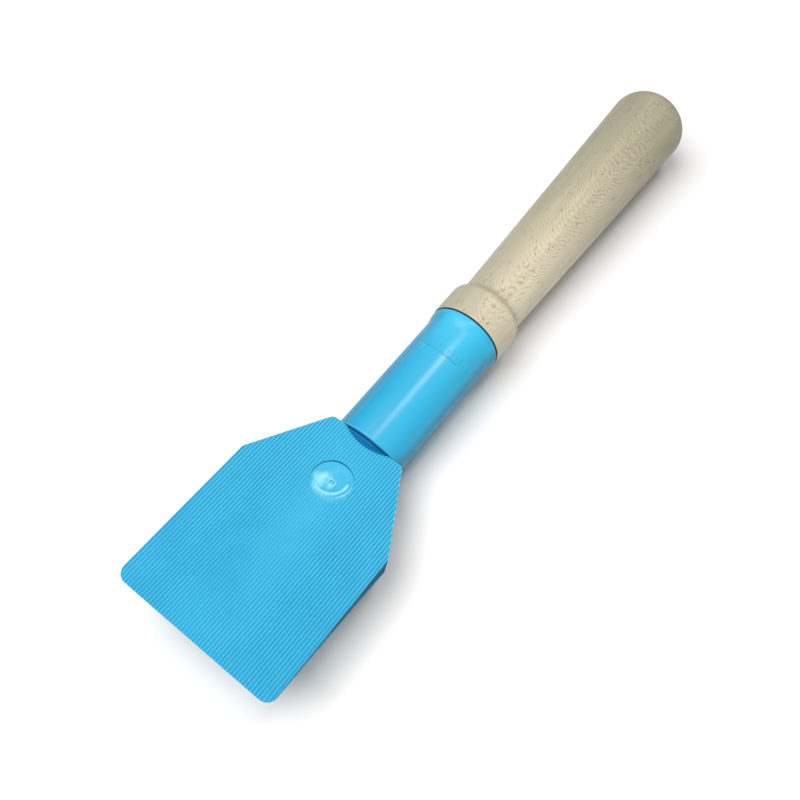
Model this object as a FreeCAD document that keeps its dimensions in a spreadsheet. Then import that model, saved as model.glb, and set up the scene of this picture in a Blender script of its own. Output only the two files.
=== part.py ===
"""Glazing paddle: a ribbed wedge blade moulded in one with a socket, a beech handle and a screw.

Every piece is drawn in a frame of its own and put in place by its Placement. The blade's frame has
its origin at the middle of the tip edge on the ribbed face, X towards the handle and Z out of that
face. The assembled tool stands on its heel and on the fat end of its grip, with the origin in the
middle of the heel's flat land, X towards the handle and Z up. Millimetres and degrees.
"""

import FreeCAD
import Part
import math
import os

import Sketcher

SIZES = {
    # blade, seen from above
    "blade_width": 80.0,
    "blade_length": 109.4,
    "shoulder_place": 72.7,
    "rear_width": 38.6,
    "tip_corner": 5.0,
    "shoulder_corner": 3.0,
    "rear_corner": 3.5,
    # blade, seen from the side
    "tip_depth": 1.3,
    "heel_depth": 30.78,
    "heel_land": 6.0,
    "land_rise": 0.384,
    "sole_radius": 340.0,
    "tip_round": 0.5,
    # ribs on the upper face
    "rib_pitch": 1.5,
    "groove_depth": 0.4,
    "groove_width": 1.05,
    "groove_floor": 0.45,
    # coring of the underside
    "wall": 3.0,
    "skin": 3.2,
    "core_start": 30.0,
    "core_end": 101.0,
    "web": 2.2,
    "web_spacing": 15.0,
    "cross_web_spacing": 24.0,
    # gate recess in the upper face
    "gate_place": 84.5,
    "gate_radius": 9.65,
    "gate_depth": 0.75,
    "gate_tilt": 4.0,
    "dimple_radius": 0.8,
    "dimple_depth": 0.9,
    "lip_reach": 2.9,
    "lip_height": 0.2,
    "ring_start": 4.6,
    "ring_end": 7.3,
    "ring_height": 0.35,
    # notch in front of the socket
    "notch_half": 12.0,
    "notch_length": 3.3,
    "notch_floor": 1.0,
    # socket
    "socket_drop": 12.0,
    "socket_rise": 4.2,
    "front_lean": 10.0,
    "socket_radius": 17.8,
    "socket_length": 76.4,
    "mouth_radius": 18.9,
    "mouth_flare": 8.0,
    "mouth_round": 0.5,
    "bore_radius": 14.6,
    "bore_depth": 73.0,
    # raised line and ticks on the socket
    "mark_height": 0.15,
    "mark_sink": 0.3,
    "mark_width": 0.45,
    "mark_place": 22.7,
    "mark_sweep": 64.0,
    "tick_length": 2.4,
    # handle
    "collar_gap": 0.5,
    "collar_radius": 19.25,
    "collar_length": 16.6,
    "collar_edge": 0.5,
    "collar_round": 1.4,
    "crest_length": 0.5,
    "crest_drop": 0.55,
    "step_length": 7.2,
    "hollow_length": 2.8,
    "hollow_rise": 0.4,
    "neck_radius": 16.35,
    "grip_radius": 21.1,
    "grip_length": 175.0,
    "end_length": 15.8,
    "end_shoulder": 11.0,
    "tenon_radius": 14.5,
    "tenon_chamfer": 1.5,
    # retaining screw
    "screw_place": 32.0,
    "screw_radius": 1.75,
    "screw_root": 1.2,
    "screw_length": 16.0,
    "screw_head": 3.6,
    "screw_pitch": 1.5,
    "screw_flank": 0.525,
    "screw_slack": 0.05,
    "screw_sink": 0.45,
    "slot_width": 0.9,
    "slot_reach": 2.2,
    "slot_depth": 1.3,
}

# Far enough outside the part for a cut to clear it.
BEYOND = 12.0
# Just clear of a face, for a cut that must not reach the next one.
CLEAR = 1.0
# How much thicker the walls under the slanting sides are, measured straight across.
SLANT = 1.15
# How far the socket starts inside the blade's rear wall, so that the two are one piece.
ROOT = 2.0
# Ticks on each side of the middle one, and the turns of the screw's thread.
SIDE_TICKS = 4
TURNS = 7


class Size:
    """A length with its value and the spreadsheet expression that gives it."""

    def __init__(self, value, text):
        self.value = value
        self.text = text

    def __add__(self, other):
        other = as_size(other)
        return Size(self.value + other.value, f"({self.text} + {other.text})")

    def __sub__(self, other):
        other = as_size(other)
        return Size(self.value - other.value, f"({self.text} - {other.text})")

    def __mul__(self, other):
        other = as_size(other)
        return Size(self.value * other.value, f"({self.text} * {other.text})")

    def __truediv__(self, other):
        other = as_size(other)
        return Size(self.value / other.value, f"({self.text} / {other.text})")

    def __neg__(self):
        return Size(-self.value, f"(0 - {self.text})")


def as_size(number):
    return number if isinstance(number, Size) else Size(float(number), repr(float(number)))


def cell(alias):
    return Size(SIZES[alias], f"sizes.{alias}")


def write_sheet(document):
    sheet = document.addObject("Spreadsheet::Sheet", "sizes")
    for row, (alias, value) in enumerate(SIZES.items(), start=1):
        sheet.set(f"A{row}", alias)
        sheet.set(f"B{row}", str(value))
        sheet.setAlias(f"B{row}", alias)
    document.recompute()


def new_body(document, name):
    body = document.addObject("PartDesign::Body", name)
    body.Label = name
    return body


def new_sketch(body, name, role, raised=None):
    """A sketch on one of the body's origin planes, moved along the plane's normal by raised."""
    plane = next(f for f in body.Origin.OriginFeatures if f.Role == role)
    sketch = body.newObject("Sketcher::SketchObject", name)
    sketch.AttachmentSupport = [(plane, "")]
    sketch.MapMode = "FlatFace"
    if raised is not None:
        sketch.setExpression("AttachmentOffset.Base.z", raised.text)
    return sketch


def tilt_sketch(sketch, across, up, angle):
    """Moves a sketch's origin within its plane and turns its axes."""
    sketch.AttachmentOffset = FreeCAD.Placement(
        FreeCAD.Vector(across.value, up.value, 0),
        FreeCAD.Rotation(FreeCAD.Vector(0, 0, 1), angle.value),
    )
    sketch.setExpression("AttachmentOffset.Base.x", across.text)
    sketch.setExpression("AttachmentOffset.Base.y", up.text)
    sketch.setExpression("AttachmentOffset.Rotation.Angle", angle.text)


def draw_outline(sketch, points, arcs=None, bulges=None):
    """Draws a closed outline through the points, each one tied to its sizes.

    arcs maps an edge's number to the point its arc passes through, and bulges maps an edge's number
    to the arc's radius, which is then tied as well.
    """
    arcs = arcs or {}
    points = [(as_size(across), as_size(up)) for across, up in points]
    places = [FreeCAD.Vector(across.value, up.value, 0) for across, up in points]
    first = len(sketch.Geometry)
    edges, starts = [], []
    for number, place in enumerate(places):
        following = places[(number + 1) % len(places)]
        start = 1
        edge = Part.LineSegment(place, following)
        if number in arcs:
            middle = FreeCAD.Vector(*[as_size(part).value for part in arcs[number]], 0)
            anticlockwise = (middle - place).cross(following - place).z > 0
            start = 1 if anticlockwise else 2
            edge = Part.Arc(place, middle, following)
        edges.append(edge)
        starts.append(start)
    sketch.addGeometry(edges, False)
    rules, ties = [], []
    for number, point in enumerate(points):
        edge = first + number
        before = (number - 1) % len(points)
        joint = ("Coincident", first + before, 3 - starts[before], edge, starts[number])
        rules.append(Sketcher.Constraint(*joint))
        ties.append(None)
        for kind, size in zip(("DistanceX", "DistanceY"), point):
            rules.append(Sketcher.Constraint(kind, -1, 1, edge, starts[number], size.value))
            ties.append(size.text)
    for number, radius in (bulges or {}).items():
        rules.append(Sketcher.Constraint("Radius", first + number, radius.value))
        ties.append(radius.text)
    base = sketch.ConstraintCount
    sketch.addConstraint(rules)
    for number, text in enumerate(ties):
        if text is not None:
            sketch.setExpression(f"Constraints[{base + number}]", text)


def pad(body, name, sketch, length, reverse=False, both_ways=False):
    feature = body.newObject("PartDesign::Pad", name)
    feature.Profile = sketch
    feature.Length = length.value
    feature.setExpression("Length", length.text)
    feature.Reversed = reverse
    feature.Midplane = both_ways
    return finish(body, feature)


def pocket(body, name, sketch, length, reverse=False, both_ways=False):
    feature = body.newObject("PartDesign::Pocket", name)
    feature.Profile = sketch
    feature.Length = length.value
    feature.setExpression("Length", length.text)
    feature.Reversed = reverse
    feature.Midplane = both_ways
    return finish(body, feature)


def revolve(body, name, kind, sketch, axis, angle=None):
    feature = body.newObject(f"PartDesign::{kind}", name)
    feature.Profile = sketch
    feature.ReferenceAxis = (sketch, [axis])
    feature.Angle = 360.0
    if angle is not None:
        feature.Angle = angle.value
        feature.setExpression("Angle", angle.text)
        feature.Midplane = True
    return finish(body, feature)


def finish(body, feature):
    """Recomputes a feature and checks that it added or removed material as its kind should."""
    before = feature.BaseFeature.Shape.Volume if feature.BaseFeature else 0.0
    body.Document.recompute()
    gained = feature.Shape.Volume - before
    cuts = feature.TypeId in ("PartDesign::Pocket", "PartDesign::Groove")
    if gained * (-1 if cuts else 1) <= 0:
        raise RuntimeError(f"{feature.Name} changed the volume by {gained:.3f} mm3")
    return feature


def round_edges(body, name, feature, wanted, radius):
    """Rounds the edges of the feature that wanted picks."""
    edges = [f"Edge{i}" for i, edge in enumerate(feature.Shape.Edges, start=1) if wanted(edge)]
    if not edges:
        raise RuntimeError(f"{name} found no edges")
    fillet = body.newObject("PartDesign::Fillet", name)
    fillet.Base = (feature, edges)
    fillet.Radius = radius.value
    fillet.setExpression("Radius", radius.text)
    body.Document.recompute()
    return fillet


def blade_outline():
    """The blade's plan as six corners, from the tip's left corner round to its right one."""
    half, rear_half = cell("blade_width") / 2, cell("rear_width") / 2
    shoulder, length = cell("shoulder_place"), cell("blade_length")
    left = [(as_size(0), half), (shoulder, half), (length, rear_half)]
    return left + [(across, -up) for across, up in reversed(left)]


def upright_at(place, tolerance=0.01):
    """Picks the upright edges at one distance from the tip."""

    def wanted(edge):
        box = edge.BoundBox
        straight_up = box.XLength < tolerance and box.YLength < tolerance
        return straight_up and abs(box.XMin - place.value) < tolerance

    return wanted


def add_blade_block(body):
    sketch = new_sketch(body, "BladePlan", "XY_Plane")
    draw_outline(sketch, blade_outline())
    block = pad(body, "BladeBlock", sketch, cell("heel_depth") + BEYOND, reverse=True)
    corners = (
        ("TipCorners", as_size(0), "tip_corner"),
        ("ShoulderCorners", cell("shoulder_place"), "shoulder_corner"),
        ("RearCorners", cell("blade_length"), "rear_corner"),
    )
    for name, place, radius in corners:
        block = round_edges(body, name, block, upright_at(place), cell(radius))
    return block


def core_half_width(place):
    """Half the width inside the walls, at a distance from the tip behind the shoulder."""
    half, rear_half = cell("blade_width") / 2, cell("rear_width") / 2
    shoulder, length = cell("shoulder_place"), cell("blade_length")
    taper = (half - rear_half) / (length - shoulder)
    return half - taper * (place - shoulder) - cell("wall") * SLANT


def add_coring(body):
    """Hollows the underside, then puts back webs along and across the hollow."""
    floor, depth = -cell("skin"), cell("heel_depth") + BEYOND - cell("skin")
    start, end, wall = cell("core_start"), cell("core_end"), cell("wall")
    half = cell("blade_width") / 2 - wall
    shoulder = cell("shoulder_place") - wall / 2
    left = [(start, half), (shoulder, half), (end, core_half_width(end))]
    hollow = new_sketch(body, "CorePlan", "XY_Plane", floor)
    draw_outline(hollow, left + [(across, -up) for across, up in reversed(left)])
    pocket(body, "Core", hollow, depth)

    along = new_sketch(body, "WebPlan", "XY_Plane", floor)
    spacing, thin = cell("web_spacing"), cell("web") / 2
    overlap = wall / 2
    for number in (-2, -1, 0, 1, 2):
        middle = spacing * number
        far = end + overlap if abs(number) < 2 else cell("shoulder_place") + spacing
        draw_outline(along, rectangle(start - overlap, far, middle - thin, middle + thin))
    pad(body, "Webs", along, depth, reverse=True)

    across = new_sketch(body, "CrossWebPlan", "XY_Plane", floor)
    for number in (1, 2):
        middle = start + cell("cross_web_spacing") * number
        reach = half + overlap if number == 1 else core_half_width(middle) + overlap
        draw_outline(across, rectangle(middle - thin, middle + thin, -reach, reach))
    return pad(body, "CrossWebs", across, depth, reverse=True)


def rectangle(low_across, high_across, low_up, high_up):
    return [
        (low_across, low_up),
        (high_across, low_up),
        (high_across, high_up),
        (low_across, high_up),
    ]


def cut_sole(body):
    """Cuts the sole: a shallow hollow curve from the tip to the heel, then the heel's flat land."""
    length, tip, heel = cell("blade_length"), cell("tip_depth"), cell("heel_depth")
    land_start = length - cell("heel_land")
    land_depth = heel + cell("land_rise")
    below = -(heel + BEYOND * 2)
    radius = cell("sole_radius")
    chord = FreeCAD.Vector(land_start.value, tip.value - land_depth.value, 0)
    sag = radius.value - math.sqrt(radius.value**2 - chord.Length**2 / 4)
    above = FreeCAD.Vector(-chord.y, chord.x, 0).normalize() * sag
    middle = FreeCAD.Vector(0, -tip.value, 0) + chord / 2 + above
    sketch = new_sketch(body, "SolePlan", "XZ_Plane")
    points = [
        (as_size(0), -tip),
        (land_start, -land_depth),
        (length, -heel),
        (length + BEYOND, -heel),
        (length + BEYOND, below),
        (as_size(-BEYOND), below),
        (as_size(-BEYOND), -tip),
    ]
    draw_outline(sketch, points, {0: (middle.x, middle.y)}, {0: radius})
    return pocket(body, "Sole", sketch, cell("blade_width") + BEYOND, both_ways=True)


def round_tip(body, feature):
    """Rounds the lower edge of the tip, between its rounded corners."""
    depth = SIZES["tip_depth"]

    def wanted(edge):
        box = edge.BoundBox
        level = abs(box.ZMin + depth) < 0.01 and abs(box.ZMax + depth) < 0.01
        return level and box.XMax < 0.01

    return round_edges(body, "TipRound", feature, wanted, cell("tip_round"))


def add_ribs(body):
    """Cuts the grooves between the ribs, the whole length of the upper face."""
    pitch, depth = cell("rib_pitch"), cell("groove_depth")
    top, floor = cell("groove_width") / 2, cell("groove_floor") / 2
    grooves = 2 * int(SIZES["blade_width"] / 2 / SIZES["rib_pitch"] - 0.5) + 1
    reach = pitch * (grooves - 1)
    middle = -reach / 2
    sketch = new_sketch(body, "GroovePlan", "YZ_Plane", as_size(-BEYOND))
    draw_outline(
        sketch,
        [(middle - floor, -depth), (middle + floor, -depth), (middle + top, 0), (middle - top, 0)],
    )
    groove = pocket(body, "Groove", sketch, cell("blade_length") + BEYOND * 2, reverse=True)
    pattern = body.newObject("PartDesign::LinearPattern", "Grooves")
    pattern.Originals = [groove]
    pattern.Direction = (sketch, ["H_Axis"])
    pattern.Length = reach.value
    pattern.setExpression("Length", reach.text)
    pattern.Occurrences = grooves
    body.Tip = pattern
    body.Document.recompute()
    return pattern


def socket_sketch(body, name):
    """A sketch along the socket's axis, its origin on the axis at the blade's rear edge."""
    sketch = new_sketch(body, name, "XZ_Plane")
    tilt_sketch(sketch, cell("blade_length"), -cell("socket_drop"), cell("socket_rise"))
    return sketch


def add_socket(body):
    """The socket's outside, flared at the mouth, and the flat front that leans over the blade."""
    length, radius, mouth = cell("socket_length"), cell("socket_radius"), cell("mouth_radius")
    flare = cell("mouth_flare")
    sketch = socket_sketch(body, "SocketProfile")
    points = [
        (as_size(-ROOT), as_size(0)),
        (length, as_size(0)),
        (length, mouth),
        (length - flare / 6, mouth),
        (length - flare, radius),
        (as_size(-ROOT), radius),
    ]
    flare_middle = (length - flare / 2, radius + (mouth - radius) / 4)
    draw_outline(sketch, points, {3: flare_middle})
    revolve(body, "Socket", "Revolution", sketch, "H_Axis")
    front = new_sketch(body, "SocketFrontPlan", "XZ_Plane")
    rear_edge = cell("blade_length")
    overhang = Size(
        BEYOND * math.tan(math.radians(SIZES["front_lean"])),
        f"({BEYOND} * tan(sizes.front_lean * 1 deg))",
    )
    points = [
        (rear_edge - BEYOND, as_size(0)),
        (rear_edge, as_size(0)),
        (rear_edge - overhang, as_size(BEYOND)),
        (rear_edge - BEYOND, as_size(BEYOND)),
    ]
    draw_outline(front, points)
    pocket(body, "SocketFront", front, radius * 3, both_ways=True)
    bore = socket_sketch(body, "BoreProfile")
    floor = length - cell("bore_depth")
    beyond = length + BEYOND
    draw_outline(bore, rectangle(floor, beyond, as_size(0), cell("bore_radius")))
    return revolve(body, "Bore", "Groove", bore, "H_Axis")


def round_mouth(body, feature):
    """Rounds the outer edge of the socket's mouth."""
    mouth = SIZES["mouth_radius"]

    def wanted(edge):
        curve = edge.Curve
        circle = isinstance(curve, Part.Circle) and abs(curve.Radius - mouth) < 0.01
        return circle and edge.BoundBox.XMax > SIZES["blade_length"] + SIZES["socket_length"] - CLEAR

    return round_edges(body, "MouthRound", feature, wanted, cell("mouth_round"))


def cut_notch(body):
    """The curved notch in the blade's rear edge, in front of the socket's end wall."""
    rear_edge, half = cell("blade_length"), cell("notch_half")
    deepest = rear_edge - cell("notch_length")
    sketch = new_sketch(body, "NotchPlan", "XY_Plane")
    draw_outline(sketch, [(rear_edge, -half), (rear_edge, half)], {1: (deepest, 0)})
    return pocket(body, "Notch", sketch, cell("notch_floor"))


def cut_gate_recess(body):
    """The round recess left by the gate: a floor that dips towards the handle, a ring and a dimple."""
    radius, depth = cell("gate_radius"), cell("gate_depth")
    dimple, hollow = cell("dimple_radius"), cell("dimple_depth")
    sketch = new_sketch(body, "GateProfile", "XZ_Plane")
    tilt_sketch(sketch, cell("gate_place"), -depth, -cell("gate_tilt"))
    ring_start, ring_end = cell("ring_start"), cell("ring_end")
    above = depth + CLEAR
    points = [
        (as_size(0), -hollow),
        (dimple / 2, -hollow),
        (dimple, cell("lip_height")),
        (cell("lip_reach"), as_size(0)),
        (ring_start, as_size(0)),
        (ring_end, as_size(0)),
        (radius, as_size(0)),
        (radius, above),
        (as_size(0), above),
    ]
    ring_top = ((ring_start + ring_end) / 2, cell("ring_height"))
    draw_outline(sketch, points, {4: ring_top})
    return revolve(body, "GateRecess", "Groove", sketch, "V_Axis")


def add_marks(body):
    """A raised line round the top of the socket and a row of ticks beside it."""
    place = cell("socket_length") - cell("mark_place")
    width, tick = cell("mark_width"), cell("tick_length")
    surface = cell("socket_radius")
    low, high = surface - cell("mark_sink"), surface + cell("mark_height")
    line = socket_sketch(body, "LineProfile")
    draw_outline(line, rectangle(place, place + width, low, high))
    revolve(body, "RaisedLine", "Revolution", line, "H_Axis", cell("mark_sweep"))
    ticks = socket_sketch(body, "TickProfile")
    start = place + width * 3
    draw_outline(ticks, rectangle(start, start + tick, low, high))
    middle = pad(body, "Tick", ticks, width, both_ways=True)
    for name, backwards in (("LeftTicks", False), ("RightTicks", True)):
        pattern = body.newObject("PartDesign::PolarPattern", name)
        pattern.Originals = [middle]
        pattern.Axis = (ticks, ["H_Axis"])
        pattern.Reversed = backwards
        pattern.Occurrences = SIDE_TICKS + 1
        pattern.Angle = SIZES["mark_sweep"] / 2
        pattern.setExpression("Angle", (cell("mark_sweep") / 2).text)
        body.Tip = pattern
        body.Document.recompute()


def cut_screw_hole(body):
    """The countersunk hole through the socket's underside."""
    place = cell("socket_length") - cell("screw_place")
    hole = cell("screw_radius") + cell("screw_slack")
    head, seat = cell("screw_head"), cell("socket_radius") - cell("screw_sink")
    outside, inside = seat + CLEAR, cell("bore_radius") - CLEAR
    sketch = socket_sketch(body, "ScrewHoleProfile")
    points = [
        (place, -outside),
        (place, -inside),
        (place + hole, -inside),
        (place + hole, -(seat - head + hole)),
        (place + head, -seat),
        (place + head, -outside),
    ]
    draw_outline(sketch, points)
    return revolve(body, "ScrewHole", "Groove", sketch, "Edge1")


def make_paddle(document):
    body = new_body(document, "paddle")
    add_blade_block(body)
    add_coring(body)
    sole = cut_sole(body)
    round_tip(body, sole)
    add_ribs(body)
    bored = add_socket(body)
    round_mouth(body, bored)
    cut_notch(body)
    cut_gate_recess(body)
    add_marks(body)
    cut_screw_hole(body)
    return body


def make_handle(document):
    """The turned handle, along X from the face of its collar."""
    body = new_body(document, "handle")
    tenon = cell("bore_depth") + cell("collar_gap")
    core, chamfer = cell("tenon_radius"), cell("tenon_chamfer")
    collar, edge = cell("collar_radius"), cell("collar_edge")
    collar_end, ease = cell("collar_length"), cell("collar_round")
    neck, neck_place = cell("neck_radius"), cell("collar_length") + cell("step_length")
    crest, drop = cell("crest_length"), cell("crest_drop")
    hollow, rise = cell("hollow_length"), cell("hollow_rise")
    grip, grip_end = cell("grip_radius"), cell("grip_length")
    end, shoulder = cell("end_length"), cell("end_shoulder")
    crown = (end * end + grip * grip - grip * shoulder * 2) / ((end - shoulder) * 2)
    crown_centre = grip_end + end - crown
    share = crown / (crown - shoulder)
    meet = (crown_centre + (grip_end - crown_centre) * share, (grip - shoulder) * share)
    points = [
        (-tenon, as_size(0)),
        (-tenon, core - chamfer),
        (chamfer - tenon, core),
        (as_size(0), core),
        (as_size(0), collar - edge),
        (edge, collar),
        (collar_end - ease, collar),
        (collar_end + crest, collar - drop),
        (neck_place - hollow, neck + rise),
        (neck_place, neck),
        (grip_end, grip),
        meet,
        (grip_end + end, as_size(0)),
    ]
    arcs = {
        6: (collar_end + (crest - ease) / 2, collar - drop / 4),
        8: (neck_place - hollow / 2, neck + rise / 6),
        10: arc_middle(points[10], meet, shoulder, (grip_end, grip - shoulder)),
        11: arc_middle(meet, points[12], crown, (crown_centre, as_size(0))),
    }
    sketch = new_sketch(body, "HandleProfile", "XZ_Plane")
    draw_outline(sketch, points, arcs, {10: shoulder, 11: crown})
    revolve(body, "Turning", "Revolution", sketch, "H_Axis")
    place = -(cell("screw_place") + cell("collar_gap"))
    hole = cell("screw_radius") + cell("screw_slack")
    deepest = cell("socket_radius") - cell("screw_sink") - cell("screw_length") - CLEAR / 2
    pilot = new_sketch(body, "PilotProfile", "XZ_Plane")
    draw_outline(
        pilot,
        [
            (place, -(core + CLEAR)),
            (place, -deepest),
            (place + hole, -deepest),
            (place + hole, -(core + CLEAR)),
        ],
    )
    revolve(body, "Pilot", "Groove", pilot, "Edge1")
    return body


def arc_middle(start, end, radius, centre):
    """The point halfway along an arc, from its ends, radius and centre."""
    trios = zip(start, end, centre)
    middle = FreeCAD.Vector(*[(a.value + b.value) / 2 - c.value for a, b, c in trios], 0)
    middle = middle.normalize() * radius.value
    return (centre[0].value + middle.x, centre[1].value + middle.y)


def make_screw(document):
    """The countersunk wood screw, along Z from the top of its head down to its point."""
    body = new_body(document, "retaining_screw")
    head, radius, root = cell("screw_head"), cell("screw_radius"), cell("screw_root")
    pitch, length = cell("screw_pitch"), cell("screw_length")
    thread_top = -(length - pitch * (TURNS + 1))
    points = [(as_size(0), as_size(0)), (head, as_size(0))]
    points += [(radius, radius - head), (radius, thread_top)]
    for turn in range(TURNS):
        crest = thread_top - pitch * turn
        points.append((root, crest - cell("screw_flank")))
        points.append((radius, crest - pitch))
    points.append((as_size(0), -length))
    profile = new_sketch(body, "ScrewProfile", "XZ_Plane")
    draw_outline(profile, points)
    revolve(body, "Turned", "Revolution", profile, "V_Axis")
    half, reach = cell("slot_width") / 2, cell("slot_reach")
    cross = new_sketch(body, "CrossPlan", "XY_Plane")
    quarter = [(reach, half), (half, half), (half, reach)]
    corners = quarter + [(-across, up) for across, up in reversed(quarter)]
    draw_outline(cross, corners + [(-across, -up) for across, up in corners])
    pocket(body, "Cross", cross, cell("slot_depth"))
    return body


def rest_placement():
    """Puts the blade on its heel: the land level, with its middle at the origin."""
    slope = math.degrees(math.atan2(SIZES["land_rise"], SIZES["heel_land"]))
    turn = FreeCAD.Rotation(FreeCAD.Vector(0, 1, 0), slope)
    land = FreeCAD.Vector(
        SIZES["blade_length"] - SIZES["heel_land"] / 2,
        0,
        -(SIZES["heel_depth"] + SIZES["land_rise"] / 2),
    )
    return FreeCAD.Placement(-turn.multVec(land), turn)


def socket_placement():
    """The socket's frame in the blade's: its origin at the mouth, X out of it."""
    turn = FreeCAD.Rotation(FreeCAD.Vector(0, 1, 0), -SIZES["socket_rise"])
    start = FreeCAD.Vector(SIZES["blade_length"], 0, -SIZES["socket_drop"])
    return FreeCAD.Placement(start + turn.multVec(FreeCAD.Vector(SIZES["socket_length"], 0, 0)), turn)


def place_pieces(paddle, handle, screw):
    paddle.Placement = rest_placement()
    mouth = rest_placement() * socket_placement()
    gap = FreeCAD.Vector(SIZES["collar_gap"], 0, 0)
    handle.Placement = mouth * FreeCAD.Placement(gap, FreeCAD.Rotation())
    seat = FreeCAD.Vector(-SIZES["screw_place"], 0, SIZES["screw_sink"] - SIZES["socket_radius"])
    upside_down = FreeCAD.Rotation(FreeCAD.Vector(1, 0, 0), 180)
    screw.Placement = mouth * FreeCAD.Placement(seat, upside_down)


def check_document(document):
    """Stops the build when any object failed or any shape is not sound."""
    for item in document.Objects:
        if "Invalid" in item.State or "Error" in item.State:
            raise RuntimeError(f"{item.Name} failed: {item.State}")
        if not item.TypeId.startswith("PartDesign"):
            continue
        if item.Shape.isNull() or not item.Shape.isValid():
            raise RuntimeError(f"{item.Name} has no sound shape")


def main():
    document = FreeCAD.newDocument("glazing_paddle")
    write_sheet(document)
    pieces = [make_paddle(document), make_handle(document), make_screw(document)]
    place_pieces(*pieces)
    document.recompute()
    check_document(document)
    os.makedirs("parts", exist_ok=True)
    for piece in pieces:
        piece.Shape.exportStep(f"parts/{piece.Label}.step")


main()
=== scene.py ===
"""Looks of the glazing paddle: its moulded blade and socket, its beech handle and its studio."""

import math

import bmesh
import bpy
import numpy as np
from mathutils import Matrix, Quaternion, Vector, noise


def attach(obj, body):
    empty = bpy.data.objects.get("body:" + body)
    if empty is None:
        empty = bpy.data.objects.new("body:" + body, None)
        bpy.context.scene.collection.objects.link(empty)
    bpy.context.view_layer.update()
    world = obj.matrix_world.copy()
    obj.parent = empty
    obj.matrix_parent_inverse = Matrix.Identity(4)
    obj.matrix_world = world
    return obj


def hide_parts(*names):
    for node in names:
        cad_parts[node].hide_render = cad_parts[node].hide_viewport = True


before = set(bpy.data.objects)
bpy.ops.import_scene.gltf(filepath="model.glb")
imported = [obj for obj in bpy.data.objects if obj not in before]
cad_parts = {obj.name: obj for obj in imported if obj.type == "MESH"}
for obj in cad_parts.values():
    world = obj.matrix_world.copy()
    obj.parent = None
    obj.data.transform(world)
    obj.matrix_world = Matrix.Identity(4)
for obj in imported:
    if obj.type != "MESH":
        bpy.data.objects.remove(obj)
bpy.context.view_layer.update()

MM = 0.001

# The camera stands at the photograph's viewing angle.
CAMERA_AT = Vector((-0.1055, -0.0762, 0.3599))
CAMERA_AIM = Vector((0.0332, 0.0032, 0.0217))
CAMERA_ROLL = math.radians(8.76)
LENS_MM = 36.32
SENSOR_MM = 36.0

# Blade, in its own frame: origin at the middle of the tip edge, X to the handle, Z out of the ribs.
BLADE_HALF = 40.0 * MM
BLADE_LENGTH = 109.4 * MM
SHOULDER = 72.7 * MM
REAR_HALF = 19.3 * MM
TIP_CORNER = 5.0 * MM
SHOULDER_CORNER = 3.0 * MM
REAR_CORNER = 3.5 * MM
TIP_DEPTH = 1.3 * MM
HEEL_DEPTH = 30.78 * MM
HEEL_LAND = 6.0 * MM
LAND_RISE = 0.384 * MM
SOLE_RADIUS = 340.0 * MM
EDGE_ROUND = 0.6 * MM
EDGE_STEPS = 4
BLADE_ROWS = 73

# Ribs on the upper face.
RIB_PITCH = 1.5 * MM
GROOVE_DEPTH = 0.4 * MM
# The share of that depth which rounding and wear have left.
GROOVE_LEFT = 0.8
# A soft streak of shallower ribs, from near the tip to the gate, a little wider towards the tip.
STREAK_HALF = 6.0 * MM
STREAK_WIDENING = 0.10
STREAK_START = 22.0 * MM
STREAK_FADE = 30.0 * MM
STREAK_SHALLOWER = 0.35

# Coring of the underside.
WALL = 3.0 * MM
SKIN = 3.2 * MM
CORE_START = 30.0 * MM
CORE_END = 101.0 * MM
WEB = 2.2 * MM
WEB_SPACING = 15.0 * MM
CROSS_WEB_SPACING = 24.0 * MM
CORE_ROUND = 0.8 * MM
SLANTING_WALL = 1.15 * WALL

# Gate recess.
GATE_AT = 84.5 * MM
GATE_RADIUS = 9.65 * MM
GATE_DEPTH = 0.75 * MM
GATE_TILT = math.radians(4.0)
# A soft ridge across its floor, on the tip's side of a circle that is offset along this axis.
RIDGE_AXIS = np.array((0.771, 0.637, 0))
RIDGE_OFFSET = 2.2 * MM
RIDGE_RADIUS = 8.0 * MM
RIDGE_HEIGHT = 0.50 * MM
RIDGE_WIDTH = 1.2 * MM
# A bowl in its middle with a raised nub round a dimple, lumps all over it and a soft outer edge.
BOWL_RADIUS = 0.42 * GATE_RADIUS
BOWL_DEPTH = 0.18 * MM
NUB_RADIUS = 1.5 * MM
NUB_WIDTH = 0.55 * MM
NUB_HEIGHT = 0.10 * MM
DIMPLE_RADIUS = 0.72 * MM
DIMPLE_DEPTH = 0.85 * MM
LUMP_SCALE = 230.0
LUMP_HEIGHT = 0.15 * MM
LUMPS_WITHIN = 0.78 * GATE_RADIUS
GATE_EDGE = 0.35 * MM
GATE_EDGE_RISE = 0.25 * MM

# Notch in front of the socket.
NOTCH_HALF = 12.0 * MM
NOTCH_LENGTH = 3.3 * MM
NOTCH_FLOOR = 1.0 * MM

# Socket, along an axis of its own that rises from the blade's rear edge.
SOCKET_DROP = 12.0 * MM
SOCKET_RISE = math.radians(4.2)
FRONT_LEAN = math.radians(10.0)
SOCKET_RADIUS = 17.8 * MM
SOCKET_LENGTH = 76.4 * MM
MOUTH_RADIUS = 18.9 * MM
MOUTH_FLARE = 8.0 * MM
MOUTH_ROUND = 0.5 * MM
BORE_RADIUS = 14.6 * MM
BORE_DEPTH = 73.0 * MM
BORE_LEAD = 0.6 * MM
ROOT = 2.0 * MM
MARK_HEIGHT = 0.15 * MM
MARK_ROOT = 0.5 * MM
MARK_WIDTH = 0.45 * MM
MARK_ROUND = 0.07 * MM
MARK_AT = 22.7 * MM
MARK_SWEEP = math.radians(64.0)
TICK_LENGTH = 2.4 * MM
TICKS = 9

# Handle, from the face of its collar.
COLLAR_GAP = 0.5 * MM
COLLAR_RADIUS = 19.25 * MM
COLLAR_EDGE = 0.5 * MM
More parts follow.
